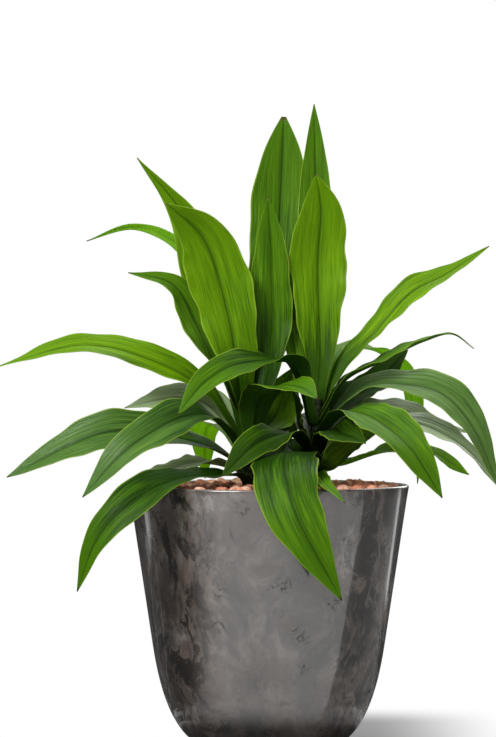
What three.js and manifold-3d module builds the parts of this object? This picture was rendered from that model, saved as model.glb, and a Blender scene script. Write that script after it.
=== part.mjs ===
// A dracaena with two leafy canes, planted in expanded clay pebbles in a round-bottomed pot.
// Millimetres, +Z up. The origin is on the pot's axis, on the surface that the pot stands on. The front is towards -Y.
import * as THREE from 'three';
import { mergeVertices } from 'three/addons/utils/BufferGeometryUtils.js';
import Module from 'manifold-3d';

const wasm = await Module();
wasm.setup();

// ---------- driving dimensions ----------

const POT = {
  height: 270,
  rimRadius: 145, // outside, at the top
  sideLean: 0.153, // how far the straight side comes in for each millimetre that it goes down
  cornerTop: 104, // height at which the straight side begins to round in
  cornerPull: 70, // how far the round corner follows the side
  footRadius: 57, // the flat ring that the pot stands on
  footPull: 30, // how far the round corner follows the floor
  wall: 6,
  lip: 2, // rounding of the rim's edges
  floor: 9, // thickness of the bottom
  sides: 56,
};

const BED = {
  level: 260, // height of the packed clay under the top layer of pebbles
  gap: 0.4, // to the pot's wall and to the canes
  pebbles: 190,
  pebbleRadius: 8.2,
  pebbleSpread: 0.16, // how much a pebble's size varies, as a share
  sunk: 1.5, // how far a pebble's middle lies below the bed's level
  seed: 11,
};

const CANE = {
  bottom: 150,
  bottomRadius: 7.5,
  topRadius: 5.5,
  scarEvery: 7, // the rings that fallen leaves leave
  scarHeight: 0.5,
  sides: 12,
};

const BLADE = {
  thickness: 0.9,
  stations: 13, // cross rows from base to tip
  baseWidth: 10,
  tipWidth: 1.3,
  baseFold: 24, // degrees by which each half rises from the midrib
  middleFold: 17,
  tipFold: 9,
  sheathRise: 8, // the leaf first climbs along the cane
  sheathLean: 3,
  offCane: 0.85, // from the cane's surface to the blade's under side
};

// A leaf grows from its cane at a height and passes through the points of its path, the last of which is its tip, in
// millimetres. width is across the widest place. turn is how far the upper face turns to the leaf's left, in degrees,
// at even steps after the base. wave is how far the edges rise and fall, widest is where along the leaf it is widest,
// and fold is by how much each half rises from the midrib, as a share of the usual.
const leaf = (at, width, turn, path, { wave = 2, widest = 0.52, fold = 1 } = {}) => (
  { at, width, turn, path, wave, widest, fold });

const CANES = {
  left: {
    x: -19, y: 0, top: 338,
    leaves: [
      leaf(268, 42, [15, 38, 35], [[-64, -70, 281], [-99, -106, 277], [-139, -128, 255], [-169, -132, 221],
        [-189, -125, 170]]),
      leaf(272, 30, [0, 20, 10], [[-48, -20, 290], [-80, -42, 293], [-110, -56, 284], [-141, -66, 270]], { wave: 3 }),
      leaf(276, 34, [0, 0], [[-4, 50, 312], [9, 110, 316], [15, 150, 275]]),
      leaf(280, 46, [55, 45], [[-66, -8, 310], [-162, -32, 325], [-267, -40, 279]], { wave: 3 }),
      leaf(283, 36, [0, 0], [[-44, 42, 325], [-66, 90, 326], [-68, 118, 272]]),
      leaf(288, 34, [0, 0], [[-15, 60, 346], [-27, 120, 341], [-35, 165, 295]]),
      leaf(290, 44, [45, 35], [[-65, -40, 342], [-134, -85, 315], [-186, -95, 261]]),
      leaf(294, 42, [40, 30], [[-60, 19, 350], [-106, 32, 358], [-151, 32, 349]]),
      leaf(298, 46, [10, -25, -35], [[-13, -22, 352], [6, -60, 370], [31, -88, 370], [47, -108, 359]],
        { wave: 4, widest: 0.6 }),
      leaf(302, 38, [35, 30, 0], [[-66, 10, 367], [-123, 5, 399], [-190, 0, 414], [-283, -12, 391]], { wave: 3 }),
      leaf(306, 17, [0, -8, -12], [[-38, 80, 430], [-96, 97, 524], [-145, 98, 544], [-195, 90, 528]]),
      leaf(311, 46, [50, 60], [[-42, -3, 366], [-58, 9, 400], [-75, 22, 435], [-100, 32, 478],
        [-147, 30, 491]]),
      leaf(320, 46, [40, 55], [[-40, 50, 405], [-66, 59, 478], [-87, 62, 549], [-139, 55, 614]]),
      leaf(323, 63, [-20, -24], [[-1, 38, 400], [11, 68, 530], [17, 76, 660]], { widest: 0.6 }),
      leaf(327, 66, [55, 60], [[-33, 10, 394], [-46, 18, 462], [-68, 15, 526], [-106, -2, 561]], { widest: 0.6 }),
      leaf(331, 46, [-35, -37], [[0, 21, 389], [3, 27, 478], [0, 21, 570]]),
      leaf(313, 42, [-45, -45], [[6, 28, 338], [15, 43, 362], [24, 49, 390]]),
      leaf(276, 34, [-50, -60], [[0, -9, 299], [14, -10, 311], [25, -8, 317]]),
    ],
  },
  right: {
    x: 49, y: 0, top: 362,
    leaves: [
      leaf(270, 19, [0, 0], [[46, -60, 283], [50, -100, 281], [55, -138, 275], [72, -163, 259]]),
      leaf(274, 48, [0, 0], [[68, -25, 288], [88, -38, 307], [122, -50, 334]], { fold: 2 }),
      leaf(279, 34, [0, -20, -35], [[78, 14, 290], [122, 25, 303], [171, 45, 302], [213, 58, 278]], { wave: 3 }),
      leaf(286, 66, [0, 0], [[17, -85, 305], [15, -142, 282], [28, -166, 241], [69, -168, 165]],
        { widest: 0.42, fold: -0.5 }),
      leaf(283, 32, [0, 0], [[66, 55, 328], [82, 110, 318], [74, 160, 288]]),
      leaf(290, 34, [0, 0], [[40, 60, 335], [26, 120, 335], [14, 165, 295]]),
      leaf(292, 38, [5, 40, 35], [[27, -25, 320], [7, -50, 321], [-14, -74, 313], [-47, -98, 282]]),
      leaf(296, 36, [-30, -30], [[92, 4, 326], [147, 12, 334], [199, 12, 311], [249, 8, 258]], { wave: 3 }),
      leaf(301, 38, [-25, -20], [[64, -42, 327], [75, -80, 323], [95, -112, 315]]),
      leaf(305, 34, [-25, -25], [[82, 32, 343], [136, 49, 347], [177, 58, 332], [216, 66, 322]], { wave: 3 }),
      leaf(313, 50, [-20, -20], [[84, -46, 345], [134, -110, 316], [169, -130, 262]]),
      leaf(318, 42, [-20, -20], [[84, 38, 356], [118, 66, 378], [150, 80, 411]]),
      leaf(323, 50, [-35, -30], [[100, 2, 369], [141, -2, 373], [180, -8, 363], [209, -14, 330], [237, -20, 267]],
        { wave: 3 }),
      leaf(327, 38, [0, 0], [[77, 60, 404], [119, 105, 409], [153, 130, 373], [163, 140, 324], [165, 145, 265]]),
      leaf(331, 40, [0, 45, 50], [[28, -18, 392], [-1, -38, 397], [-37, -62, 392], [-66, -82, 374], [-91, -98, 343]]),
      leaf(335, 30, [-10, -5], [[79, 0, 377], [121, 3, 399], [163, 8, 419], [191, 10, 426], [214, 12, 411]],
        { wave: 1.5 }),
      leaf(339, 24, [25, 29], [[30, 24, 399], [20, 35, 452], [14, 40, 500]]),
      leaf(343, 42, [-20, -30], [[80, 10, 393], [110, 18, 425], [149, 25, 469], [185, 30, 488], [232, 34, 519]],
        { wave: 3 }),
      leaf(350, 40, [-7, -7], [[54, 37, 415], [51, 54, 537], [49, 62, 672]]),
      leaf(354, 60, [-15, -15], [[54, 18, 410], [52, 28, 499], [55, 23, 556], [50, 15, 593]], { widest: 0.62 }),
      leaf(309, 34, [0, 0], [[32, 0, 328], [28, -3, 354], [22, -6, 384]]),
      leaf(281, 28, [36, 80], [[28, 1, 302], [18, 7, 310], [6, 11, 315]]),
    ],
  },
};

// ---------- finishes ----------

const finish = (color, roughness, metalness = 0) => new THREE.MeshStandardMaterial({ color, roughness, metalness });
const glaze = finish(0x55504d, 0.25);
const clay = finish(0x9c4a30, 0.9);
const bark = finish(0x6d6a3e, 0.8);
const leafGreen = finish(0x3f7a14, 0.4);

// ---------- solids ----------

function toSolid(geometry) {
  const bare = geometry.clone();
  bare.deleteAttribute('normal');
  bare.deleteAttribute('uv');
  const merged = mergeVertices(bare, 1e-4);
  return new wasm.Manifold(new wasm.Mesh({
    numProp: 3,
    vertProperties: merged.attributes.position.array,
    triVerts: new Uint32Array(merged.index.array),
  }));
}

function fromSolid(solid) {
  const mesh = solid.getMesh();
  const geometry = new THREE.BufferGeometry();
  geometry.setAttribute('position', new THREE.BufferAttribute(mesh.vertProperties, 3));
  geometry.setIndex(new THREE.BufferAttribute(mesh.triVerts, 1));
  return geometry;
}

// A lathe turned about +Z from a profile of [radius, height] pairs that runs up the outside from the axis.
function lathe(profile, sides) {
  const points = profile.map(([r, z]) => new THREE.Vector2(Math.max(r, 0), z));
  return new THREE.LatheGeometry(points, sides).rotateX(Math.PI / 2);
}

// The same draw of numbers from 0 to 1 each time.
function seeded(seed) {
  let state = seed;
  return () => {
    state = (state * 16807) % 2147483647;
    return state / 2147483647;
  };
}

const degrees = THREE.MathUtils.degToRad;
const mix = THREE.MathUtils.lerp;
const ease = (x) => THREE.MathUtils.smoothstep(x, 0, 1);

// ---------- pot ----------

// The outside from the foot up to the rim: a round corner and then a straight side. inset moves it inwards.
function potSide(inset, steps) {
  const sideAt = (z) => POT.rimRadius - (POT.height - z) * POT.sideLean - inset;
  const foot = new THREE.Vector2(POT.footRadius - inset * 0.5, inset ? POT.floor : 0);
  const top = new THREE.Vector2(sideAt(POT.cornerTop), POT.cornerTop);
  const corner = new THREE.CubicBezierCurve(
    foot,
    new THREE.Vector2(foot.x + POT.footPull, foot.y),
    new THREE.Vector2(sideAt(POT.cornerTop - POT.cornerPull), POT.cornerTop - POT.cornerPull + foot.y * 0.4),
    top,
  );
  return { corner: corner.getPoints(steps).map((p) => [p.x, p.y]), sideAt };
}

function makePot() {
  const outside = potSide(0, 8);
  const inside = potSide(POT.wall, 7);
  const { height, lip } = POT;
  const rim = [
    [outside.sideAt(height - lip), height - lip],
    [outside.sideAt(height) - lip * 0.3, height - lip * 0.3],
    [outside.sideAt(height) - lip, height],
    [inside.sideAt(height) + lip, height],
    [inside.sideAt(height) + lip * 0.3, height - lip * 0.3],
    [inside.sideAt(height - lip), height - lip],
  ];
  const profile = [[0, 0], ...outside.corner, ...rim, ...inside.corner.reverse(), [0, POT.floor]];
  return lathe(profile, POT.sides);
}

// ---------- canes ----------

function caneRadius(cane, z) {
  return mix(CANE.bottomRadius, CANE.topRadius, (z - CANE.bottom) / (cane.top - CANE.bottom));
}

function makeCane(cane) {
  const profile = [[0, CANE.bottom], [CANE.bottomRadius - 1, CANE.bottom], [CANE.bottomRadius, CANE.bottom + 1]];
  const lastScar = 268;
  for (let z = lastScar - 3 * CANE.scarEvery; z <= lastScar; z += CANE.scarEvery) {
    const r = caneRadius(cane, z);
    profile.push([r, z - 1], [r - CANE.scarHeight, z], [r, z + 1]);
  }
  profile.push([CANE.topRadius, cane.top - 3], [CANE.topRadius * 0.6, cane.top - 0.6], [0, cane.top]);
  return lathe(profile, CANE.sides).translate(cane.x, cane.y, 0);
}

// ---------- clay pebbles ----------

// The bed fills the pot. Its top layer of pebbles follows a sunflower spiral, each one a little off its place.
function makePebbles() {
  const inside = potSide(POT.wall + BED.gap, 6);
  const edge = inside.sideAt(BED.level);
  const lowest = POT.floor + BED.gap;
  const profile = [
    [0, lowest],
    ...inside.corner.map(([r, z]) => [r, z + BED.gap]),
    [edge, BED.level],
    [0, BED.level],
  ];
  const random = seeded(BED.seed);
  const layer = [];
  const spread = edge - BED.pebbleRadius * 0.95;
  const goldenAngle = Math.PI * (3 - Math.sqrt(5));
  for (let i = 0; i < BED.pebbles; i += 1) {
    const far = spread * Math.sqrt((i + 0.5) / BED.pebbles);
    const round = i * goldenAngle + (random() - 0.5) * 0.05;
    const size = BED.pebbleRadius * (1 + (random() - 0.5) * 2 * BED.pebbleSpread);
    const stone = new THREE.IcosahedronGeometry(size, 0);
    stone.rotateX(random() * Math.PI).rotateZ(random() * Math.PI).scale(1, 1, 0.85);
    const inward = Math.min(far, edge - size * 1.02);
    stone.translate(inward * Math.cos(round), inward * Math.sin(round), BED.level - BED.sunk + random() * 2);
    layer.push(toSolid(stone));
  }
  let bed = wasm.Manifold.union([toSolid(lathe(profile, POT.sides)), ...layer]);
  for (const cane of Object.values(CANES)) {
    const hole = new THREE.CylinderGeometry(1, 1, 400, CANE.sides).rotateX(Math.PI / 2);
    const r = CANE.bottomRadius + BED.gap + 0.2;
    hole.scale(r, r, 1).translate(cane.x, cane.y, CANE.bottom - BED.gap + 200);
    bed = bed.subtract(toSolid(hole));
  }
  return fromSolid(bed);
}

// ---------- leaves ----------

// The blade's width at s, from 0 at the base to 1 at the tip.
function widthAt(s, { width, widest }) {
  if (s < widest) return mix(BLADE.baseWidth, width, Math.sin((Math.PI / 2) * (s / widest)) ** 1.2);
  return mix(BLADE.tipWidth, width, Math.cos((Math.PI / 2) * ((s - widest) / (1 - widest)) ** 1.15));
}

// The turn at s, from none at the base through the given ones at even steps.
function alongTurns(turn, s) {
  const turns = [0, ...turn];
  const step = Math.min(Math.floor(s * turn.length), turn.length - 1);
  return mix(turns[step], turns[step + 1], ease(s * turn.length - step));
}

// The midrib, with the direction, left side and upper face of the blade at each station.
function spine(cane, { at, path, turn }) {
  const [shoulder] = path;
  const out = new THREE.Vector3(shoulder[0] - cane.x, shoulder[1] - cane.y, 0).normalize();
  const start = caneRadius(cane, at) + BLADE.offCane + BLADE.thickness / 2;
  const base = new THREE.Vector3(cane.x, cane.y, at).addScaledVector(out, start);
  const sheath = base.clone().addScaledVector(out, BLADE.sheathLean);
  sheath.z += BLADE.sheathRise;
  const points = [base, sheath, ...path.map((p) => new THREE.Vector3(...p))];
  const curve = new THREE.CatmullRomCurve3(points, false, 'centripetal');
  const steps = (BLADE.stations - 1) * 4;
  const side = new THREE.Vector3(-out.y, out.x, 0);
  const rows = [];
  let before = null;
  for (let i = 0; i <= steps; i += 1) {
    const s = i / steps;
    const along = curve.getTangentAt(s);
    if (before) side.applyQuaternion(new THREE.Quaternion().setFromUnitVectors(before, along));
    before = along.clone();
    if (i % 4) continue;
    const roll = degrees(alongTurns(turn, s));
    const left = side.clone().applyAxisAngle(along, -roll);
    rows.push({ s, at: curve.getPointAt(s), left, up: along.clone().cross(left) });
  }
  return rows;
}

function foldAt(s) {
  const { baseFold, middleFold, tipFold } = BLADE;
  return degrees(s < 0.3 ? mix(baseFold, middleFold, ease(s / 0.3)) : mix(middleFold, tipFold, (s - 0.3) / 0.7));
}

// A thin blade folded along its midrib: each cross row has a left edge, a midrib and a right edge on both faces.
function makeLeaf(cane, form, number) {
  const rows = spine(cane, form);
  const corners = [];
  rows.forEach(({ s, at, left, up }) => {
    const half = widthAt(s, form) / 2;
    const fold = foldAt(s) * mix(1, form.fold, ease(s * 3));
    for (const face of [0.5, -0.5]) {
      for (const across of [1, 0, -1]) {
        const sway = form.wave * Math.sin(Math.PI * s) * Math.sin(s * 15 + number * 2.4 + across);
        const rise = Math.abs(across) * (half * Math.sin(fold) + sway) + face * BLADE.thickness;
        corners.push(at.clone().addScaledVector(left, across * half * Math.cos(fold)).addScaledVector(up, rise));
      }
    }
  });
  // Corners 0, 1, 2 of a row are the upper face from left to right, and 3, 4, 5 the under face.
  const index = [];
  const quad = (a, b, c, d) => index.push(a, b, c, a, c, d);
  for (let i = 0; i + 1 < rows.length; i += 1) {
    const r = i * 6;
    const n = r + 6;
    quad(r, r + 1, n + 1, n);
    index.push(r + 1, r + 2, n + 2, r + 1, n + 2, n + 1);
    index.push(r + 3, n + 4, r + 4, r + 3, n + 3, n + 4);
    index.push(r + 4, n + 5, r + 5, r + 4, n + 4, n + 5);
    quad(r + 3, r, n, n + 3);
    quad(r + 2, r + 5, n + 5, n + 2);
  }
  const last = (rows.length - 1) * 6;
  quad(0, 3, 4, 1);
  quad(1, 4, 5, 2);
  quad(last, last + 1, last + 4, last + 3);
  quad(last + 1, last + 2, last + 5, last + 4);
  const geometry = new THREE.BufferGeometry().setFromPoints(corners);
  geometry.setIndex(index);
  return geometry;
}

// ---------- the whole plant ----------

const plant = new THREE.Group();

function add(name, geometry, material) {
  const mesh = new THREE.Mesh(geometry, material);
  mesh.name = name;
  plant.add(mesh);
}

add('pot', makePot(), glaze);
add('clay_pebbles', makePebbles(), clay);
for (const [side, cane] of Object.entries(CANES)) {
  add(`cane_${side}`, makeCane(cane), bark);
  cane.leaves.forEach((form, i) => {
    add(`leaf_${side}_${String(i + 1).padStart(2, '0')}`, makeLeaf(cane, form, i), leafGreen);
  });
}

export default plant;
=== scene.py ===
# A dracaena with two leafy canes, planted in clay pebbles in a round-bottomed glazed pot.
# Metres, +Z up, the front towards -Y. The part's own sizes are given in millimetres, as in its source.
import math

import bpy
from mathutils import Matrix, Quaternion, Vector


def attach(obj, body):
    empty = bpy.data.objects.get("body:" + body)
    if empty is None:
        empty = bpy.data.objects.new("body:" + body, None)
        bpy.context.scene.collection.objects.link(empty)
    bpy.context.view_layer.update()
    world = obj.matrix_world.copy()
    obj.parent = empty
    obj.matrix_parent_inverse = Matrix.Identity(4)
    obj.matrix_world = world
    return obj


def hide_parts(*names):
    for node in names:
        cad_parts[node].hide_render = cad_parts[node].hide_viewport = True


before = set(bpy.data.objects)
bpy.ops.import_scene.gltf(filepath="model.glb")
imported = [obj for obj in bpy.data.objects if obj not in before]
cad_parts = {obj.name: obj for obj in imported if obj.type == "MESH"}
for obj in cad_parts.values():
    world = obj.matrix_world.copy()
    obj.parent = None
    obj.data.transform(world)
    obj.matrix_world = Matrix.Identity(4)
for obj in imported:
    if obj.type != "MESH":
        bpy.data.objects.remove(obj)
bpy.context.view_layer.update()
bpy.ops.object.select_all(action="DESELECT")

MM = 0.001
GOLDEN_ANGLE = math.pi * (3 - math.sqrt(5))


def mix(a, b, share):
    return a + (b - a) * share


def ease(x):
    """From 0 to 1 with a soft start and end, and level outside them."""
    x = min(max(x, 0.0), 1.0)
    return x * x * (3 - 2 * x)


# ---------- camera and lamps ----------

EYE = Vector((-0.0213, -2.4, 0.366))
AIM = Vector((-0.0213, 0.0, 0.390))
LENS = 113.2
SENSOR_HEIGHT = 36

scene = bpy.context.scene
scene.view_settings.view_transform = "Standard"


def turned_to(at, aim):
    """The turn of a camera or lamp at a point that faces another."""
    return (Vector(aim) - Vector(at)).to_track_quat("-Z", "Y").to_euler()


def place_camera():
    bpy.ops.object.camera_add(location=EYE, rotation=turned_to(EYE, AIM))
    camera = bpy.context.object
    camera.name = "camera"
    camera.data.sensor_fit = "VERTICAL"
    camera.data.sensor_height = SENSOR_HEIGHT
    camera.data.lens = LENS
    scene.camera = camera


def softbox(name, at, aim, size, power):
    """A rectangular studio light."""
    bpy.ops.object.light_add(type="AREA", location=at, rotation=turned_to(at, aim))
    lamp = bpy.context.object
    lamp.name = name
    lamp.data.shape = "RECTANGLE"
    lamp.data.size, lamp.data.size_y = size
    lamp.data.energy = power


# ---------- nodes ----------

def new_material(name):
    """An empty material and its node tree."""
    material = bpy.data.materials.new(name)
    material.use_nodes = True
    material.node_tree.nodes.clear()
    return material, material.node_tree


def node(tree, kind, inputs=None, **settings):
    """A node with its settings, each input either a value or a socket that it is linked from."""
    made = tree.nodes.new("ShaderNode" + kind)
    for setting, value in settings.items():
        setattr(made, setting, value)
    for slot, value in (inputs or {}).items():
        if isinstance(value, bpy.types.NodeSocket):
            tree.links.new(value, made.inputs[slot])
        else:
            made.inputs[slot].default_value = value
    return made


def own_place(tree):
    """The point on the piece, in metres."""
    return node(tree, "TexCoord").outputs["Object"]


def on_sheet(tree):
    """The point on the piece's own flat map, as X and Y from 0 to 1."""
    return split(tree, node(tree, "TexCoord").outputs["UV"])


def split(tree, vector):
    """The X, Y and Z of a vector."""
    return node(tree, "SeparateXYZ", {0: vector}).outputs


def carried(tree, name):
    """A number that the mesh carries at its points."""
    return node(tree, "Attribute", attribute_name=name).outputs["Fac"]


def maths(tree, operation, *values):
    return node(tree, "Math", dict(enumerate(values)), operation=operation).outputs[0]


def product(tree, first, *rest):
    for value in rest:
        first = maths(tree, "MULTIPLY", first, value)
    return first


def shares(tree, first, *rest):
    """The sum of several patterns, each given with its share."""
    total = product(tree, *first)
    for part in rest:
        total = maths(tree, "ADD", total, product(tree, *part))
    return total


def span(tree, value, low, high, to_low=0.0, to_high=1.0, smooth=False):
    """A value's place between two limits, from one number to another."""
    kind = "SMOOTHSTEP" if smooth else "LINEAR"
    inputs = {"Value": value, "From Min": low, "From Max": high, "To Min": to_low, "To Max": to_high}
    return node(tree, "MapRange", inputs, interpolation_type=kind).outputs["Result"]


def fade(tree, value, low, high, to_low=0.0, to_high=1.0):
    """A span with a soft start and end."""
    return span(tree, value, low, high, to_low, to_high, smooth=True)


def ramp(tree, factor, stops):
    """A colour ramp, its stops given as (place, colour)."""
    made = node(tree, "ValToRGB", {0: factor})
    elements = made.color_ramp.elements
    while len(elements) < len(stops):
        elements.new(0.5)
    for element, (place, colour) in zip(elements, stops):
        element.position = place
        element.color = (*colour, 1)
    return made.outputs["Color"]


def blend(tree, factor, under, over):
    """A colour or socket laid over another by a factor."""
    under, over = (c if isinstance(c, bpy.types.NodeSocket) else (*c, 1) for c in (under, over))
    return node(tree, "Mix", {0: factor, 6: under, 7: over}, data_type="RGBA").outputs[2]


def cloud(tree, where, scale, detail=3.0, roughness=0.5):
    inputs = {"Vector": where, "Scale": scale, "Detail": detail, "Roughness": roughness}
    return node(tree, "TexNoise", inputs).outputs["Fac"]


def drawn_up(tree, where, height):
    """The place with its height shrunk, so that a pattern on it is drawn out upwards."""
    return node(tree, "Mapping", {"Vector": where, "Scale": (1, 1, height)}).outputs[0]


def bump(tree, height, distance, strength=1.0, under=None):
    inputs = {"Height": height, "Distance": distance, "Strength": strength}
    if under is not None:
        inputs["Normal"] = under
    return node(tree, "Bump", inputs).outputs["Normal"]


def matt(tree, grey):
    return node(tree, "BsdfDiffuse", {"Color": (grey, grey, grey, 1)}).outputs[0]


def white_glow(tree, strength):
    return node(tree, "Emission", {"Color": (1, 1, 1, 1), "Strength": strength}).outputs[0]


def either(tree, factor, first, second):
    """The first shader where the factor is 0, the second where it is 1."""
    return node(tree, "MixShader", {0: factor, 1: first, 2: second}).outputs[0]


def output(tree, shader):
    node(tree, "OutputMaterial", {"Surface": shader})


# ---------- the studio's own surfaces ----------

# how far the floor's patch of paint reaches each way: (all of it, none of it); the patch is grey, a painted
# shadow round the pot that fades into the white
PAINTED_SHADOW_PATCH = {
    "X": ((0.03, -0.11), (0.10, 0.28)),
    "Y": ((-0.06, -0.20), (0.16, 0.30)),
}
# patch: the grey of the painted shadow patch on the floor
FLOOR = {"size": 24, "patch": 0.38, "gloss_paint": 0.60, "gloss_glow": 0.38, "bounce": 0.34}
SKY = {"horizon": 0.12, "above": 0.70, "full_height": 0.9}


def sky():
    """Light from above that fades to a dim horizon, behind a white backdrop."""
    world = bpy.data.worlds.new("studio")
    scene.world = world
    world.use_nodes = True
    tree = world.node_tree
    tree.nodes.clear()
    seen = node(tree, "LightPath").outputs["Is Camera Ray"]
    height = split(tree, node(tree, "TexCoord").outputs["Generated"])["Z"]
    strength = fade(tree, height, 0.0, SKY["full_height"], SKY["horizon"], SKY["above"])
    room = node(tree, "Background", {"Color": (1, 1, 1, 1), "Strength": strength}).outputs[0]
    backdrop = node(tree, "Background", {"Color": (1, 1, 1, 1), "Strength": 1.0}).outputs[0]
    node(tree, "OutputWorld", {"Surface": either(tree, seen, room, backdrop)})


def floor_paint():
    """Pale paint in a patch that is a painted shadow, which also takes the pot's real shadow and runs out
    into white, and shines more in gloss.
    """
    material, tree = new_material("pale_floor")
    where = split(tree, own_place(tree))
    edges = [fade(tree, where[axis], whole, none, 1.0, 0.0) for axis in "XY" for whole, none in PAINTED_SHADOW_PATCH[axis]]
    # the grey patch, fading into white glow at its edges, is a painted shadow
    shown = either(tree, product(tree, *edges), white_glow(tree, 1.0), matt(tree, FLOOR["patch"]))
    paint, glow = matt(tree, FLOOR["gloss_paint"]), white_glow(tree, FLOOR["gloss_glow"])
    shiny = node(tree, "AddShader", {0: paint, 1: glow}).outputs[0]
    path = node(tree, "LightPath").outputs
    unseen = either(tree, path["Is Glossy Ray"], matt(tree, FLOOR["bounce"]), shiny)
    output(tree, either(tree, path["Is Camera Ray"], unseen, shown))
    return material


def dark_reflection_card(name, start, end, soft=(0.02, 0.02), reach=(0.125, 8.0), soft_far=0.02, tone=0.04):
    """A dark card on the floor, a sector round the pot that only gloss reflects: a painted dark reflection in
    the pot's glaze.

    start, end: its two edges, each as degrees from the front, near the pot and from halfway out.
    soft, soft_far: the shares of the card over which those two edges and the far one fade.
    reach: how far from the pot's middle it starts and ends.
    """
    bpy.ops.mesh.primitive_grid_add(x_subdivisions=48, y_subdivisions=16, size=2, calc_uvs=True)
    card = bpy.context.object
    card.name = name
    near, far = reach
    for vertex in card.data.vertices:
        u, v = (vertex.co.x + 1) / 2, (vertex.co.y + 1) / 2
        away = near * (far / near) ** v
        turn = math.radians(mix(mix(*start, min(v * 2, 1)), mix(*end, min(v * 2, 1)), u))
        vertex.co = (away * math.sin(turn), -away * math.cos(turn), MM)
    material, tree = new_material(name)
    sheet = on_sheet(tree)
    sides = fade(tree, sheet["X"], 0.0, soft[0]), fade(tree, sheet["X"], 1.0 - soft[1], 1.0, 1.0, 0.0)
    cover = product(tree, *sides, fade(tree, sheet["Y"], 1.0 - soft_far, 1.0, 1.0, 0.0))
    output(tree, either(tree, cover, node(tree, "BsdfTransparent").outputs[0], matt(tree, tone)))
    card.data.materials.append(material)
    for ray in ("camera", "diffuse", "shadow", "transmission"):
        setattr(card, f"visible_{ray}", False)


def studio():
    sky()
    bpy.ops.mesh.primitive_plane_add(size=FLOOR["size"])
    floor = bpy.context.object
    floor.name = "floor"
    floor.data.materials.append(floor_paint())
    # dark cards that only gloss sees, painting dark reflections into the pot's glaze; the one round the foot
    # paints a dark reflection of shade under the pot
    dark_reflection_card("dark_card_left", (-130, -120), (-33, -38), soft=(0.03, 0.45))
    dark_reflection_card("dark_card_right", (43, 80), (140, 132), soft=(0.02, 0.04), tone=0.20)
    dark_reflection_card("dark_card_back", (-181, -181), (-128, -125))
    dark_reflection_card("dark_card_back_right", (137, 137), (181, 181))
    dark_reflection_card("dark_card_gap_left", (-134, -134), (-114, -114), (0.1, 0.1), reach=(0.125, 1.3), soft_far=0.12)
    dark_reflection_card("dark_card_gap_right", (126, 126), (144, 144), (0.1, 0.1), reach=(0.125, 1.0), soft_far=0.12)
    dark_reflection_card("dark_card_foot", (-181, -181), (181, 181), (0.001, 0.001), reach=(0.05, 0.165), soft_far=0.35)
    softbox("key", (-1.5, -1.7, 2.3), (0, 0, 0.35), (1.2, 1.2), 98)
    softbox("front", (0.35, -3.4, 1.6), (0, 0, 0.3), (2.2, 1.6), 14)
    softbox("top", (0.5, 1.1, 2.2), (0, 0, 0.3), (1.6, 1.2), 26)
    softbox("back", (1.1, 2.7, 1.3), (0, 0, 0.35), (1.8, 1.2), 20)


# ---------- pot ----------

POT = {
    "height": 270, "rim": 145, "lean": 0.153, "corner_top": 104, "corner_pull": 70,
    "foot": 57, "foot_pull": 30, "wall": 6, "lip": 2, "floor": 9,
}
POT_SIDES = 144
# the pot's rings: heights on the two walls, steps on the two corners and the lip, and the two smallest radii
RINGS = {
    "outside": (124, 148, 176, 204, 232, 256), "inside": (262, 240, 205, 170, 135),
    "outer_corner": 22, "inner_corner": 14, "lip": 5, "foot": 30, "floor": 26,
}


def bezier(a, b, c, d, t):
    return a * (1 - t) ** 3 + b * 3 * t * (1 - t) ** 2 + c * 3 * t * t * (1 - t) + d * t ** 3


def pot_side(inset, height):
    """The straight side's radius at a height, inset from the outside."""
    return POT["rim"] - (POT["height"] - height) * POT["lean"] - inset


def pot_corner(inset, steps, lift=0.0):
    """The round corner from the foot up to the straight side, as (radius, height) pairs."""
    low = POT["floor"] if inset else 0
    under = POT["corner_top"] - POT["corner_pull"]
    points = (
        Vector((POT["foot"] - inset * 0.5, low)),
        Vector((POT["foot"] - inset * 0.5 + POT["foot_pull"], low)),
        Vector((pot_side(inset, under), under + low * 0.4)),
        Vector((pot_side(inset, POT["corner_top"]), POT["corner_top"])),
    )
    return [tuple(bezier(*points, i / steps) + Vector((0, lift))) for i in range(steps + 1)]


def turned(name, profile, sides, at=(0, 0)):
    """A closed body of (radius, height) rings, drawn out ring by ring from its first."""
    first, *rest = profile
    start = (at[0] * MM, at[1] * MM, first[1] * MM)
    bpy.ops.mesh.primitive_circle_add(vertices=sides, radius=first[0] * MM, fill_type="NGON", location=start)
    body = bpy.context.object
    body.name = name
    bpy.ops.object.transform_apply(location=True)
    bpy.ops.object.mode_set(mode="EDIT")
    before = first
    for ring in rest:
        rise = (0, 0, (ring[1] - before[1]) * MM)
        bpy.ops.mesh.extrude_region_move(TRANSFORM_OT_translate={"value": rise})
        share = ring[0] / before[0]
        middle = (at[0] * MM, at[1] * MM, ring[1] * MM)
        bpy.ops.transform.resize(value=(share, share, 1), center_override=middle)
        before = ring
    bpy.ops.mesh.select_all(action="SELECT")
    bpy.ops.mesh.normals_make_consistent(inside=False)
    bpy.ops.object.mode_set(mode="OBJECT")
    return body


def rounded_lip():
    """The rings over the rim from the outside to the inside, its two edges rounded."""
    top, lip = POT["height"], POT["lip"]
    over = []
    for middle, start in ((pot_side(0, top) - lip, 0), (pot_side(POT["wall"], top) + lip, 90)):
        for step in range(RINGS["lip"] + 1):
            turn = math.radians(start + 90 * step / RINGS["lip"])
            over.append((middle + lip * math.cos(turn), top - lip + lip * math.sin(turn)))
    return over


def is_inside(face):
    """Whether a face of the pot is one of its inner wall or floor."""
    out, height = math.hypot(face.center.x, face.center.y) / MM, face.center.z / MM
    if out >= pot_side(POT["wall"] - 0.5, height) or height <= POT["floor"] * 0.9:
        return False
    return face.normal.z > 0.9 or face.normal.x * face.center.x + face.normal.y * face.center.y < 0


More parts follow.
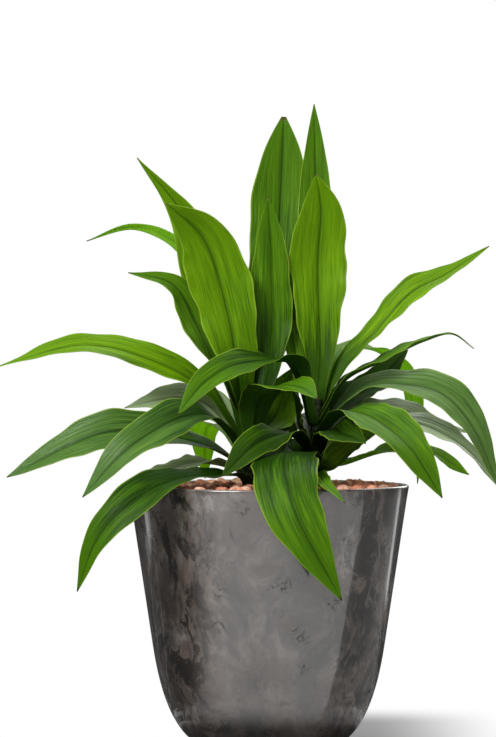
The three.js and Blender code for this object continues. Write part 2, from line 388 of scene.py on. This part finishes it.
def make_pot():
    profile = [(RINGS["foot"], 0)] + pot_corner(0, RINGS["outer_corner"])
    profile += [(pot_side(0, z), z) for z in RINGS["outside"]] + rounded_lip()
    profile += [(pot_side(POT["wall"], z), z) for z in RINGS["inside"]]
    profile += pot_corner(POT["wall"], RINGS["inner_corner"])[::-1] + [(RINGS["floor"], POT["floor"])]
    pot = turned("glazed_pot", profile, POT_SIDES)
    bpy.ops.object.shade_smooth_by_angle(angle=math.radians(40))
    pot.data.materials.append(glaze())
    pot.data.materials.append(raw_clay())
    for face in pot.data.polygons:
        face.material_index = int(is_inside(face))
    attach(pot, "root")
    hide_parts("pot")


def swirled(tree, where):
    """The place led astray by a slow noise, so that a pattern on it flows like poured glaze."""
    stray = node(tree, "TexNoise", {"Vector": where, "Scale": 11.0, "Detail": 3.0}).outputs["Color"]
    stray = node(tree, "VectorMath", {0: stray, 1: (0.5, 0.5, 0.5)}, operation="SUBTRACT").outputs[0]
    stray = node(tree, "VectorMath", {0: stray, "Scale": 0.085}, operation="SCALE").outputs[0]
    return node(tree, "VectorMath", {0: where, 1: stray}, operation="ADD").outputs[0]


def cracks(tree, where, flow):
    """Hair cracks that keep to clusters, from 0 to 0.9."""
    noise = cloud(tree, flow, 70.0, detail=5.0, roughness=0.7)
    off_thread = maths(tree, "ABSOLUTE", maths(tree, "SUBTRACT", noise, 0.5))
    off_cluster = node(tree, "TexVoronoi", {"Vector": where, "Scale": 30.0}).outputs["Distance"]
    thread = fade(tree, off_thread, 0.0, 0.030, 1.0, 0.0)
    return product(tree, thread, fade(tree, off_cluster, 0.14, 0.36, 1.0, 0.0), 0.9)


def glaze():
    """Dark lacquer over clouded clay, with brown and black stains at its sides and hair cracks, and painted
    shade on its left side and near its foot.
    """
    material, tree = new_material("marbled_glaze")
    where = own_place(tree)
    place = split(tree, where)
    flow = swirled(tree, where)
    tall = drawn_up(tree, flow, 0.45)

    drift = cloud(tree, tall, 27.0, detail=7.0, roughness=0.66)
    smoke = cloud(tree, flow, 15.0, detail=6.0, roughness=0.66)
    speck = cloud(tree, flow, 95.0, detail=4.0, roughness=0.7)
    body = ramp(tree, shares(tree, (drift, 0.5), (smoke, 0.38), (speck, 0.12)), [
        (0.39, (0.010, 0.0075, 0.0055)), (0.44, (0.036, 0.027, 0.021)), (0.48, (0.086, 0.067, 0.056)),
        (0.52, (0.145, 0.120, 0.103)), (0.57, (0.260, 0.225, 0.200))])

    sides = fade(tree, maths(tree, "ABSOLUTE", place["X"]), 0.030, 0.085)
    plain = maths(tree, "SUBTRACT", 0.6, product(tree, sides, 0.6))
    body = blend(tree, plain, body, (0.058, 0.054, 0.052))
    rust = cloud(tree, flow, 16.0, detail=4.0, roughness=0.6)
    body = blend(tree, fade(tree, rust, 0.48, 0.62, 0.0, 0.65), body, (0.060, 0.041, 0.032))
    smear = cloud(tree, drawn_up(tree, flow, 0.16), 46.0, detail=6.0, roughness=0.62)
    smear = product(tree, fade(tree, smear, 0.49, 0.58, 0.0, 0.75), sides)
    body = blend(tree, smear, body, (0.150, 0.118, 0.098))

    spill = fade(tree, cloud(tree, tall, 40.0, detail=8.0, roughness=0.74), 0.515, 0.565, 0.0, 0.92)
    drip = cloud(tree, drawn_up(tree, flow, 0.13), 52.0, detail=5.0, roughness=0.6)
    stain = maths(tree, "MAXIMUM", spill, fade(tree, drip, 0.54, 0.60, 0.0, 0.8))
    stain = product(tree, stain, span(tree, sides, 0.0, 1.0, 0.22, 1.0))
    body = blend(tree, stain, body, (0.008, 0.006, 0.005))
    # painted shade: the glaze is darkened on its left side and towards its foot, standing in for the dark
    # reflections and shade there
    painted_shade_left = fade(tree, place["X"], -0.105, -0.055, 0.55, 0.0)
    low = fade(tree, place["Z"], 0.010, 0.050, 0.6, 0.0)
    body = blend(tree, maths(tree, "MAXIMUM", painted_shade_left, low), body, (0.012, 0.009, 0.007))

    crack = cracks(tree, where, flow)
    body = blend(tree, crack, body, (0.006, 0.0045, 0.004))
    rough = maths(tree, "MAXIMUM", span(tree, smoke, 0.35, 0.65, 0.20, 0.32), crack)
    lacquer = maths(tree, "SUBTRACT", 1.0, crack)
    output(tree, node(tree, "BsdfPrincipled", {
        "Base Color": body, "Roughness": rough, "Normal": bump(tree, speck, 0.0004, 0.25), "IOR": 1.5,
        "Coat Weight": lacquer, "Coat IOR": 1.6, "Coat Roughness": 0.05}).outputs[0])
    return material


def raw_clay():
    """The pot's unglazed inside, pale grey and matt."""
    material, tree = new_material("raw_clay")
    grain = cloud(tree, own_place(tree), 160.0, detail=5.0, roughness=0.65)
    body = ramp(tree, grain, [(0.35, (0.24, 0.22, 0.21)), (0.65, (0.40, 0.38, 0.36))])
    output(tree, node(tree, "BsdfPrincipled", {
        "Base Color": body, "Roughness": 0.6, "Normal": bump(tree, grain, 0.0004)}).outputs[0])
    return material


# ---------- clay pebbles ----------

BED = {"level": 260, "gap": 0.4, "sides": 96, "corner_steps": 8, "middle": 20, "tone": 0.1}
# the layers are (level, count), and cane_room keeps the pebbles clear of the canes
STONES = {
    "layers": ((259, 330), (265, 300)), "radius": 6.7, "spread": 0.25, "height_spread": 6, "over_rim": 3.4,
    "wall_room": 1.05, "layer_turn": 1.7, "stray": 0.04, "cane_room": 7, "flatness": 0.92, "seed": 11,
    "shapes": (3, 8, 21),
}


def seeded(seed):
    """The same draw of numbers from 0 to 1 each time."""
    state = seed
    while True:
        state = state * 16807 % 2147483647
        yield state / 2147483647


def mark(mesh, name, values):
    """Gives each of a mesh's points a number, or all of them the same one."""
    if not isinstance(values, list):
        values = [values] * len(mesh.vertices)
    mesh.attributes.new(name, "FLOAT", "POINT").data.foreach_set("value", values)


def clay():
    """Baked clay, rust brown and dusty, each pebble a little lighter or darker than the next."""
    material, tree = new_material("baked_clay")
    where = own_place(tree)
    fired = ramp(tree, carried(tree, "tone"), [
        (0.0, (0.40, 0.125, 0.066)), (0.35, (0.64, 0.240, 0.132)), (0.75, (0.76, 0.345, 0.210)),
        (1.0, (0.82, 0.480, 0.340))])
    dust = cloud(tree, where, 420.0, detail=4.0, roughness=0.65)
    fired = blend(tree, span(tree, dust, 0.50, 0.75, 0.0, 0.45), fired, (0.74, 0.44, 0.31))
    pits = cloud(tree, where, 900.0)
    fired = blend(tree, span(tree, pits, 0.30, 0.42, 0.4, 0.0), fired, (0.07, 0.025, 0.015))
    normal = bump(tree, pits, 0.0012, 0.8, under=bump(tree, dust, 0.002, 0.6))
    output(tree, node(tree, "BsdfPrincipled", {
        "Base Color": fired, "Roughness": 0.88, "Normal": normal}).outputs[0])
    return material


def stone_shapes():
    """Rounded stones of unit size, which all the pebbles are copies of."""
    stones = []
    for seed in STONES["shapes"]:
        bpy.ops.mesh.primitive_ico_sphere_add(subdivisions=2, radius=1)
        stones.append(bpy.context.object)
        bpy.ops.object.mode_set(mode="EDIT")
        bpy.ops.transform.vertex_random(offset=0.16, uniform=0.0, normal=1.0, seed=seed)
        bpy.ops.mesh.vertices_smooth(factor=0.35, repeat=1)
        bpy.ops.object.mode_set(mode="OBJECT")
        bpy.ops.object.shade_smooth()
    return stones


def lay_stone(stone, place, size, spin, tone):
    copy = stone.copy()
    copy.data = stone.data.copy()
    scene.collection.objects.link(copy)
    flat = Matrix.Diagonal((1, 1, STONES["flatness"], 1))
    turn = Matrix.Rotation(spin[1], 4, "Z") @ Matrix.Rotation(spin[0], 4, "X")
    copy.matrix_world = Matrix.Translation(Vector(place) * MM) @ flat @ turn @ Matrix.Scale(size * MM, 4)
    mark(copy.data, "tone", tone)
    return copy


def make_pebbles():
    """Pebbles in two layers over a plain bed, laid from the middle outwards and kept off the canes."""
    draw = seeded(STONES["seed"])
    edge = pot_side(POT["wall"] + BED["gap"], BED["level"])
    shapes = stone_shapes()
    laid = []
    for layer, (level, count) in enumerate(STONES["layers"]):
        for i in range(count):
            size = STONES["radius"] * (1 + (next(draw) - 0.5) * 2 * STONES["spread"])
            far = min(edge * math.sqrt((i + 0.5) / count), edge - size * STONES["wall_room"])
            turn = i * GOLDEN_ANGLE + layer * STONES["layer_turn"] + (next(draw) - 0.5) * STONES["stray"]
            lift = (next(draw) - 0.5) * STONES["height_spread"]
            height = min(level + lift, POT["height"] + STONES["over_rim"] - size)
            spin = (next(draw) * math.pi, next(draw) * math.pi)
            tone = next(draw)
            place = (far * math.cos(turn), far * math.sin(turn), height)
            room = size + STONES["cane_room"]
            if all(math.dist(place[:2], (cane["x"], cane["y"])) > room for cane in CANES.values()):
                laid.append(lay_stone(shapes[i % len(shapes)], place, size, spin, tone))
    for stone in shapes:
        bpy.data.objects.remove(stone)
    corner = pot_corner(POT["wall"] + BED["gap"], BED["corner_steps"], lift=BED["gap"])
    profile = [(BED["middle"], POT["floor"] + BED["gap"]), *corner, (edge, BED["level"])]
    bed = turned("pebble_bed", profile, BED["sides"])
    mark(bed.data, "tone", BED["tone"])
    bpy.ops.object.select_all(action="DESELECT")
    for piece in (*laid, bed):
        piece.select_set(True)
    bpy.context.view_layer.objects.active = bed
    bpy.ops.object.join()
    bed.data.materials.clear()
    bed.data.materials.append(clay())
    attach(bed, "root")
    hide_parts("clay_pebbles")
    bed.select_set(False)


# ---------- canes ----------

CANE = {
    "bottom": 150, "bottom_radius": 7.5, "top_radius": 5.5, "sides": 28,
    "first_scar": 184, "last_scar": 8, "scar_every": 7, "scar_place": 0.29,
}
# (radius change, height) round a scar, and (share of the top's radius, depth below it) at the tip
SCAR = ((0, -2.2), (-0.1, -0.8), (-0.5, 0), (0.15, 0.9))
CANE_TIP = ((1, 4), (0.85, 1.8), (0.6, 0.6), (0.2, 0))


def cane_radius(cane, z):
    share = (z - CANE["bottom"]) / (cane["top"] - CANE["bottom"])
    return mix(CANE["bottom_radius"], CANE["top_radius"], share)


def bark():
    """Green-brown skin, paler on the scars that run round it."""
    material, tree = new_material("cane_bark")
    where = own_place(tree)
    grain = cloud(tree, drawn_up(tree, where, 0.25), 260.0, detail=5.0)
    skin = ramp(tree, grain, [
        (0.3, (0.008, 0.012, 0.003)), (0.55, (0.024, 0.036, 0.007)), (0.75, (0.06, 0.07, 0.02))])
    ring = maths(tree, "FRACT", maths(tree, "DIVIDE", split(tree, where)["Z"], CANE["scar_every"] * MM))
    off_scar = maths(tree, "ABSOLUTE", maths(tree, "SUBTRACT", ring, CANE["scar_place"]))
    skin = blend(tree, fade(tree, off_scar, 0.0, 0.12, 0.7, 0.0), skin, (0.075, 0.08, 0.03))
    output(tree, node(tree, "BsdfPrincipled", {
        "Base Color": skin, "Roughness": 0.62, "Normal": bump(tree, grain, 0.0008, 0.6)}).outputs[0])
    return material


def make_cane(side, cane, skin):
    """A ringed stem from inside the pebbles to the growing tip."""
    profile = [(CANE["bottom_radius"] - 1, CANE["bottom"]), (CANE["bottom_radius"], CANE["bottom"] + 1)]
    z = CANE["first_scar"]
    while z < cane["top"] - CANE["last_scar"]:
        profile += [(cane_radius(cane, z) + change, z + rise) for change, rise in SCAR]
        z += CANE["scar_every"]
    profile += [(CANE["top_radius"] * share, cane["top"] - depth) for share, depth in CANE_TIP]
    stem = turned(f"stem_{side}", profile, CANE["sides"], (cane["x"], cane["y"]))
    bpy.ops.object.shade_smooth_by_angle(angle=math.radians(50))
    stem.data.materials.append(skin)
    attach(stem, "root")
    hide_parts(f"cane_{side}")


# ---------- leaves ----------

BLADE = {
    "thickness": 0.9, "base_width": 10, "tip_width": 0.8, "base_fold": 24, "middle_fold": 17, "tip_fold": 9,
    "sheath_rise": 8, "sheath_lean": 3, "off_cane": 0.85, "wrap": 9, "wrap_end": 0.15, "edge_thinning": 0.45,
}
# the forms on a blade: their heights, the scallops' as a share of a half's width, and how closely they follow
SURFACE = {
    "waves": 15, "ripple": 0.8, "ripples": 52, "pleat": 0.22, "pleats": 9, "groove": 0.55,
    "scallop": 0.055, "scallops": (19, 43),
}
ROWS = 60
HALF_COLUMNS = (0, 0.022, 0.05, 0.09, 0.14, 0.20, 0.26, 0.32, 0.38, 0.44, 0.50, 0.56, 0.62, 0.68, 0.74, 0.80,
                0.86, 0.92, 0.965, 1)


def leaf(at, width, turn, path, finish="green", wave=2, widest=0.52, fold=1, tip=BLADE["tip_width"],
         blunt=1.2, drawn=0, dusk=0.45):
    """One leaf of a cane.

    at: its height on the cane. width, widest: how broad it gets, and at which share of its length.
    turn: the degrees that it has rolled by after each even part of its length.
    path: the points that its midrib runs through, up to the tip. finish: its green, a lit or shaded copy of
    one green that paints light or shade.
    wave: the height of its edges' waves. fold: its fold as a share of the usual one.
    tip, blunt, drawn: how broad, round and drawn out its end is.
    dusk: the share of its length over which it comes out of the shade of the others.
    """
    return dict(at=at, width=width, turn=turn, path=path, finish=finish, wave=wave, widest=widest, fold=fold,
                tip=tip, blunt=blunt, drawn=drawn, dusk=dusk)


CANES = {
    "left": {
        "x": -19, "y": 0, "top": 338,
        "leaves": [
            leaf(268, 42, (15, 38, 35), [(-64, -70, 281), (-99, -106, 277), (-139, -128, 255),
                (-169, -132, 221), (-189, -125, 170)], dusk=1.1),
            leaf(272, 30, (0, 20, 10), [(-48, -20, 290), (-80, -42, 293), (-110, -56, 284),
                (-141, -66, 270)], "pale", wave=3, dusk=0.15),
            leaf(276, 34, (0, 0), [(-4, 50, 312), (9, 110, 316), (15, 150, 275)]),
            leaf(280, 46, (55, 45), [(-66, -8, 310), (-162, -32, 325), (-267, -40, 279)],
                "painted_sheen", wave=3),
            leaf(283, 36, (0, 0), [(-44, 42, 325), (-66, 90, 326), (-68, 118, 272)], "fresh_painted_backlight", dusk=0.12),
            leaf(288, 34, (0, 0), [(-15, 60, 346), (-27, 120, 341), (-35, 165, 295)], "fresh_painted_backlight"),
            leaf(290, 44, (45, 35), [(-65, -40, 342), (-134, -85, 315), (-186, -95, 261)],
                "painted_sheen", dusk=0.7),
            leaf(294, 42, (40, 30), [(-60, 19, 350), (-106, 32, 358), (-151, 32, 349)], "pale", dusk=0.12),
            leaf(298, 46, (10, -25, -35), [(-13, -22, 352), (6, -60, 370), (31, -88, 370),
                (47, -108, 359)], wave=4, widest=0.6, dusk=0.9),
            leaf(302, 38, (35, 30, 0), [(-66, 10, 367), (-123, 5, 399), (-190, 0, 414),
                (-283, -12, 391)], "painted_light", wave=3),
            leaf(306, 17, (-4, -8, -5, 65, 0, 65, 0), [(-38, 80, 430), (-96, 97, 524), (-145, 98, 544),
                (-195, 90, 528)], "fresh_painted_backlight", drawn=0.3),
            leaf(311, 50, (50, 60), [(-42, -3, 366), (-58, 9, 400), (-75, 22, 435), (-100, 32, 478),
                (-147, 30, 491)], drawn=0.45),
            leaf(320, 46, (40, 55), [(-40, 50, 405), (-66, 59, 478), (-87, 62, 549), (-139, 55, 614)],
                "painted_light", dusk=0.25, drawn=0.45),
            leaf(323, 63, (-20, -24), [(-1, 38, 400), (11, 68, 530), (17, 76, 660)],
                widest=0.6, dusk=0.35, tip=5, blunt=1.7),
            leaf(327, 66, (55, 60), [(-33, 10, 394), (-46, 18, 462), (-68, 15, 526), (-106, -2, 561)],
                "painted_light", widest=0.6),
            leaf(331, 46, (-35, -37), [(0, 21, 389), (3, 27, 478), (0, 21, 570)], dusk=0.6),
            leaf(313, 42, (-45, -45), [(6, 28, 338), (15, 43, 362), (24, 49, 390)], "painted_light", dusk=0.6),
            leaf(276, 34, (-50, -60), [(0, -9, 299), (14, -10, 311), (25, -8, 317)], "deep"),
        ],
    },
    "right": {
        "x": 49, "y": 0, "top": 362,
        "leaves": [
            leaf(270, 19, (0, 0), [(46, -60, 283), (50, -100, 281), (55, -138, 275), (72, -163, 259)]),
            leaf(274, 48, (0, 0), [(68, -25, 288), (88, -38, 307), (122, -50, 334)],
                "painted_light", fold=2, dusk=0.2),
            leaf(279, 34, (0, -30, -70), [(78, 14, 290), (122, 25, 303), (171, 45, 302), (213, 58, 278)],
                "fresh_painted_backlight", wave=3, dusk=0.8),
            leaf(286, 66, (0, 0), [(17, -85, 305), (15, -142, 282), (28, -166, 241), (69, -168, 165)],
                widest=0.42, fold=-0.5, dusk=0.8),
            leaf(283, 32, (0, 0), [(66, 55, 328), (82, 110, 318), (74, 160, 288)], "fresh_painted_backlight"),
            leaf(290, 34, (0, 0), [(40, 60, 335), (26, 120, 335), (14, 165, 295)], "deep"),
            leaf(292, 38, (5, 40, 35), [(27, -25, 320), (7, -50, 321), (-14, -74, 313), (-47, -98, 282)],
                "deep"),
            leaf(296, 36, (-30, -30), [(92, 4, 326), (147, 12, 334), (199, 12, 311), (249, 8, 258)],
                "pale", wave=3, dusk=0.15),
            leaf(301, 38, (-25, -20), [(64, -42, 327), (75, -80, 323), (95, -112, 315)], "deep"),
            leaf(305, 34, (-25, -25), [(82, 32, 343), (136, 49, 347), (177, 58, 332), (216, 66, 322)],
                "pale", wave=3, dusk=0.15),
            leaf(313, 50, (-20, -20), [(84, -46, 345), (134, -110, 316), (169, -130, 262)], dusk=0.45),
            leaf(318, 42, (-20, -20), [(84, 38, 356), (118, 66, 378), (150, 80, 411)], "deep"),
            leaf(323, 50, (-35, -30), [(100, 2, 369), (141, -2, 373), (180, -8, 363), (209, -14, 330),
                (237, -20, 267)], "painted_misty_sheen", wave=3, dusk=0.3),
            leaf(327, 38, (0, 0), [(77, 60, 404), (119, 105, 409), (153, 130, 373), (163, 140, 324),
                (165, 145, 265)], "fresh_painted_backlight", dusk=0.2),
            leaf(331, 40, (0, 45, 50), [(28, -18, 392), (-1, -38, 397), (-37, -62, 392),
                (-66, -82, 374), (-91, -98, 343)], dusk=0.9),
            leaf(335, 30, (-10, -5), [(79, 0, 377), (121, 3, 399), (163, 8, 419), (191, 10, 426),
                (214, 12, 411)], wave=1.5, drawn=0.3),
            leaf(339, 24, (25, 29), [(30, 24, 399), (20, 35, 452), (14, 40, 500)]),
            leaf(343, 42, (-20, -30), [(80, 10, 393), (110, 18, 425), (149, 25, 469), (185, 30, 488),
                (232, 34, 519)], "painted_light", wave=3, drawn=0.3),
            leaf(350, 40, (-7, -7), [(54, 37, 415), (51, 54, 537), (49, 62, 672)], dusk=0.2),
            leaf(354, 60, (-15, -15), [(54, 18, 410), (52, 28, 499), (55, 23, 556), (50, 15, 593)],
                "painted_light", widest=0.62, blunt=1.4),
            leaf(309, 34, (0, 0), [(32, 0, 328), (28, -3, 354), (22, -6, 384)], "deep"),
            leaf(281, 28, (36, 80), [(28, 1, 302), (18, 7, 310), (6, 11, 315)], "deep"),
        ],
    },
}


def path_point(points, t):
    """A point on the smooth curve through the points, t from 0 to 1, a span of it to each pair."""
    spans = len(points) - 1
    first = min(int(t * spans), spans - 1)
    w = t * spans - first
    p1, p2 = points[first], points[first + 1]
    p0 = points[first - 1] if first else p1 * 2 - p2
    p3 = points[first + 2] if first + 2 <= spans else p2 * 2 - p1
    d0, d1, d2 = ((a - b).length ** 0.5 for a, b in ((p0, p1), (p1, p2), (p2, p3)))
    leave = ((p1 - p0) / d0 - (p2 - p0) / (d0 + d1) + (p2 - p1) / d1) * d1
    reach = ((p2 - p1) / d1 - (p3 - p1) / (d1 + d2) + (p3 - p2) / d2) * d1
    square = p2 * 3 - p1 * 3 - leave * 2 - reach
    cube = p1 * 2 - p2 * 2 + leave + reach
    return p1 + leave * w + square * w ** 2 + cube * w ** 3


def even_places(points, count):
    """Curve places that split its length evenly, and that length."""
    steps = 400
    walked = [0.0]
    before = points[0]
    for i in range(1, steps + 1):
        now = path_point(points, i / steps)
        walked.append(walked[-1] + (now - before).length)
        before = now
    places = []
    i = 0
    for k in range(count + 1):
        goal = walked[-1] * k / count
        while i < steps - 1 and walked[i + 1] < goal:
            i += 1
        places.append((i + (goal - walked[i]) / (walked[i + 1] - walked[i])) / steps)
    return places, walked[-1]


def along_turns(turn, s):
    """The degrees that a leaf has rolled by at a share of its length."""
    turns = (0, *turn)
    step = min(int(s * len(turn)), len(turn) - 1)
    return mix(turns[step], turns[step + 1], ease(s * len(turn) - step))


def spine(cane, form):
    """The midrib's point, left side and upper direction at each row, and its length."""
    shoulder = form["path"][0]
    out = Vector((shoulder[0] - cane["x"], shoulder[1] - cane["y"], 0)).normalized()
    start = cane_radius(cane, form["at"]) + BLADE["off_cane"] + BLADE["thickness"] / 2
    base = Vector((cane["x"], cane["y"], form["at"])) + out * start
    sheath = base + out * BLADE["sheath_lean"] + Vector((0, 0, BLADE["sheath_rise"]))
    points = [base, sheath] + [Vector(p) for p in form["path"]]
    places, length = even_places(points, ROWS)
    side = Vector((-out.y, out.x, 0))
    before = None
    rows = []
    for i, t in enumerate(places):
        here = path_point(points, t)
        along = (path_point(points, min(t + 1e-4, 1)) - path_point(points, max(t - 1e-4, 0))).normalized()
        if before:
            side = before.rotation_difference(along) @ side
        before = along
        roll = math.radians(along_turns(form["turn"], i / ROWS))
        left = Quaternion(along, -roll) @ side
        rows.append((here, left, along.cross(left)))
    return rows, length


def blade_width(form, s):
    widest = form["widest"]
    if s < widest:
        wrap = BLADE["wrap"] * (1 - ease(s / BLADE["wrap_end"]))
        return mix(BLADE["base_width"], form["width"], math.sin(math.pi / 2 * s / widest) ** 1.2) + wrap
    taper = math.cos(math.pi / 2 * ((s - widest) / (1 - widest)) ** form["blunt"])
    return mix(form["tip"], form["width"], taper * (1 - form["drawn"] * ease((s - 0.65) / 0.35)))


def blade_fold(form, s):
    if s < 0.3:
        angle = mix(BLADE["base_fold"], BLADE["middle_fold"], ease(s / 0.3))
    else:
        angle = mix(BLADE["middle_fold"], BLADE["tip_fold"], (s - 0.3) / 0.7)
    return math.radians(angle) * mix(1, form["fold"], ease(s * 3))


def wrapped_point(here, left, cane, reach):
    """A point of the sheath, which runs round the cane to either side of the midrib."""
    out = Vector((here.x - cane["x"], here.y - cane["y"], 0))
    hand = 1 if left.cross(out).z < 0 else -1
    round_cane = Matrix.Rotation(hand * reach / max(out.length, 1), 3, "Z") @ out
    return Vector((cane["x"], cane["y"], here.z)) + round_cane


def blade_point(row, form, cane, number, s, across):
    """A point of the blade's middle layer, folded at the midrib, arched and pleated, its edges waved."""
    here, left, up = row
    half = blade_width(form, s) / 2
    fold = blade_fold(form, s)
    off = abs(across)
    hand = 1 if across > 0 else -1 if across < 0 else 0
    swell = math.sin(math.pi * s)
    arch = half * math.sin(fold) * off * (1.22 - 0.22 * off)
    sway = form["wave"] * swell * math.sin(s * SURFACE["waves"] + number * 2.4 + hand) * off ** 1.3
    ripple = math.sin(s * SURFACE["ripples"] + number * 1.7 + hand * 0.8)
    ripple *= SURFACE["ripple"] * swell * off ** 4
    pleat = math.cos(off * math.pi * SURFACE["pleats"]) * min(off * 5, 1) * (1 - off ** 6)
    pleat *= SURFACE["pleat"] * swell ** 0.7
    groove = -SURFACE["groove"] * math.exp(-(across * half) ** 2) * (1 - s * 0.6)
    long, short = SURFACE["scallops"]
    scallop = math.sin(s * long + number * 1.3 + hand * 2) + math.sin(s * short + number) / 2
    sideways = across * half * (1 + SURFACE["scallop"] * swell * off ** 3 * scallop)
    point = here + left * sideways * math.cos(fold) + up * (arch + sway + ripple + pleat + groove)
    free = ease(s / BLADE["wrap_end"])
    if free < 1:
        point = wrapped_point(here, left, cane, across * half).lerp(point, free)
    return point * MM


def make_blade(name, node_name, cane, form, number, finishes):
    """A blade as a flat grid led along its path, then given its thickness, which thins towards the edges."""
    rows, length = spine(cane, form)
    half = len(HALF_COLUMNS) - 1
    bpy.ops.mesh.primitive_grid_add(x_subdivisions=half * 2, y_subdivisions=ROWS, size=2, calc_uvs=True)
    blade = bpy.context.object
    blade.name = name
    mesh = blade.data
    places = []
    for vertex in mesh.vertices:
        column = round(vertex.co.x * half)
        row = round((vertex.co.y + 1) / 2 * ROWS)
        across = -math.copysign(HALF_COLUMNS[abs(column)], column)
        places.append((across, row / ROWS))
        vertex.co = blade_point(rows[row], form, cane, number, row / ROWS, across)
    for loop, uv in zip(mesh.loops, mesh.uv_layers.active.data):
        across, s = places[loop.vertex_index]
        uv.uv = (across * 0.5 + 0.5, s)
    blade.vertex_groups.new(name="body")
    for i, (across, s) in enumerate(places):
        blade.vertex_groups["body"].add([i], 1 - BLADE["edge_thinning"] * abs(across) ** 3, "REPLACE")
    mark(mesh, "number", number * 1.37 + cane["x"] * 0.1)
    mark(mesh, "reach", length * 0.01)
    mark(mesh, "dusk", form["dusk"])
    mark(mesh, "breadth", [(blade_width(form, s) / 50) ** 0.8 for _, s in places])
    mesh.materials.append(finishes[form["finish"]])
    mesh.materials.append(finishes[form["finish"] if form["finish"] in BOTH_SIDES else "under"])
    wall = blade.modifiers.new("body", "SOLIDIFY")
    wall.thickness = BLADE["thickness"] * MM
    wall.offset = 0
    wall.vertex_group = "body"
    wall.material_offset = 1
    bpy.ops.object.modifier_apply(modifier=wall.name)
    bpy.ops.object.shade_smooth()
    blade.vertex_groups.clear()
    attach(blade, "root")
    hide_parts(node_name)


# ---------- leaf finishes ----------

# the finishes are lit and shaded copies of one green: the darkest is painted shade, the lighter ones painted
# light, the greyer ones painted sheen, and the translucent one has painted backlight besides; green and under
# are the plain leaf
# deep, plain and pale green, roughness, shine, and the share of light that comes through
GREENS = {
    "painted_misty_sheen": ((0.03, 0.090, 0.010), (0.11, 0.23, 0.04), (0.22, 0.37, 0.10), 0.38, 0.24, 0.3),
    "green": ((0.012, 0.045, 0.001), (0.062, 0.170, 0.002), (0.14, 0.31, 0.005), 0.40, 0.1, 0.22),
    "deep": ((0.006, 0.022, 0.001), (0.022, 0.065, 0.002), (0.055, 0.14, 0.005), 0.44, 0.09, 0.22),
    "painted_sheen": ((0.014, 0.055, 0.003), (0.056, 0.150, 0.012), (0.12, 0.25, 0.03), 0.37, 0.24, 0.22),
    "painted_light": ((0.028, 0.085, 0.001), (0.115, 0.260, 0.001), (0.20, 0.39, 0.003), 0.44, 0.09, 0.22),
    "fresh_painted_backlight": ((0.07, 0.19, 0.006), (0.20, 0.40, 0.016), (0.34, 0.56, 0.05), 0.40, 0.3, 0.65),
    "pale": ((0.05, 0.105, 0.027), (0.28, 0.40, 0.17), (0.50, 0.62, 0.37), 0.34, 0.6, 0.35),
    "under": ((0.020, 0.070, 0.003), (0.060, 0.160, 0.006), (0.12, 0.26, 0.015), 0.50, 0.1, 0.22),
}
# finishes that show on both sides of a blade; the others have "under" below
BOTH_SIDES = ("fresh_painted_backlight", "pale", "painted_misty_sheen", "deep")
MARGIN_GREEN = (0.27, 0.42, 0.03)
DRY_TIP = (0.075, 0.045, 0.012)


def toned(colour, share):
    return tuple(min(c * share, 1.0) for c in colour)


def leaf_finish(name, deep, plain, pale, rough, shine, through):
    """Waxy green with fine veins along the blade, painted shade along the midrib's crease and towards the
    base, a thin pale margin and a dry tip.
    """
    material, tree = new_material(name)
    sheet = on_sheet(tree)
    across = maths(tree, "MULTIPLY_ADD", sheet["X"], 2.0, -1.0)
    along = sheet["Y"]
    off = maths(tree, "ABSOLUTE", across)
    run = product(tree, along, carried(tree, "reach"))
    aside = product(tree, across, carried(tree, "breadth"))
    number = carried(tree, "number")

    def strands(sideways, scale, detail, roughness=0.5):
        """A noise that runs along the blade, different on each leaf."""
        where = node(tree, "CombineXYZ", {0: sideways, 1: run, 2: number}).outputs[0]
        return cloud(tree, where, scale, detail, roughness)

    vein = strands(product(tree, aside, 10.0), 2.6, 2.0, 0.6)
    band = strands(product(tree, aside, 3.2), 1.1, 2.0)
    patch = strands(across, 1.4, 3.0)
    streak = maths(tree, "SUBTRACT", shares(tree, (vein, 0.62), (patch, 0.3), (band, 0.35)), 0.635)
    streak = product(tree, streak, fade(tree, along, 0.6, 0.95, 1.0, 0.25))
    # painted shade: each leaf darkens towards its base, over the share of its length given by dusk, as if
    # shaded by the leaves above
    past_dusk = maths(tree, "DIVIDE", along, carried(tree, "dusk"))
    shade = maths(tree, "ADD", streak, fade(tree, past_dusk, 0.0, 1.0, 0.19, 0.575))
    green = ramp(tree, shade, [(0.36, deep), (0.56, plain), (0.76, pale)])
    # painted shade in the crease along the midrib: a broad dark band and a narrow dark line
    green = blend(tree, fade(tree, off, 0.0, 0.20, 0.55, 0.0), green, toned(deep, 0.8))
    green = blend(tree, fade(tree, off, 0.0, 0.035, 0.8, 0.0), green, toned(deep, 0.5))
    # the pale margin fades in that painted shade too
    margin = product(tree, fade(tree, off, 0.935, 0.985), fade(tree, past_dusk, 0.0, 0.9, 0.25, 0.8))
    green = blend(tree, margin, green, MARGIN_GREEN)
    green = blend(tree, fade(tree, along, 0.982, 0.998, 0.0, 0.85), green, DRY_TIP)

    normal = bump(tree, strands(product(tree, aside, 14.0), 2.2, 1.0), 0.0011, 0.5)
    wax = node(tree, "BsdfPrincipled", {
        "Base Color": green, "Roughness": span(tree, patch, 0.3, 0.7, rough - 0.05, rough + 0.08),
        "Normal": normal, "Specular IOR Level": shine}).outputs[0]
    glow = blend(tree, 0.5, green, toned(pale, 1.8))
    lit_through = node(tree, "BsdfTranslucent", {"Color": glow, "Normal": normal}).outputs[0]
    output(tree, either(tree, through, wax, lit_through))
    return material


# ---------- the whole plant ----------

place_camera()
studio()
make_pot()
make_pebbles()
stem_skin = bark()
finishes = {name: leaf_finish(f"leaf_{name}", *greens) for name, greens in GREENS.items()}
for side, cane in CANES.items():
    make_cane(side, cane, stem_skin)
    for number, form in enumerate(cane["leaves"]):
        tag = f"{side}_{number + 1:02d}"
        make_blade(f"blade_{tag}", f"leaf_{tag}", cane, form, number, finishes)
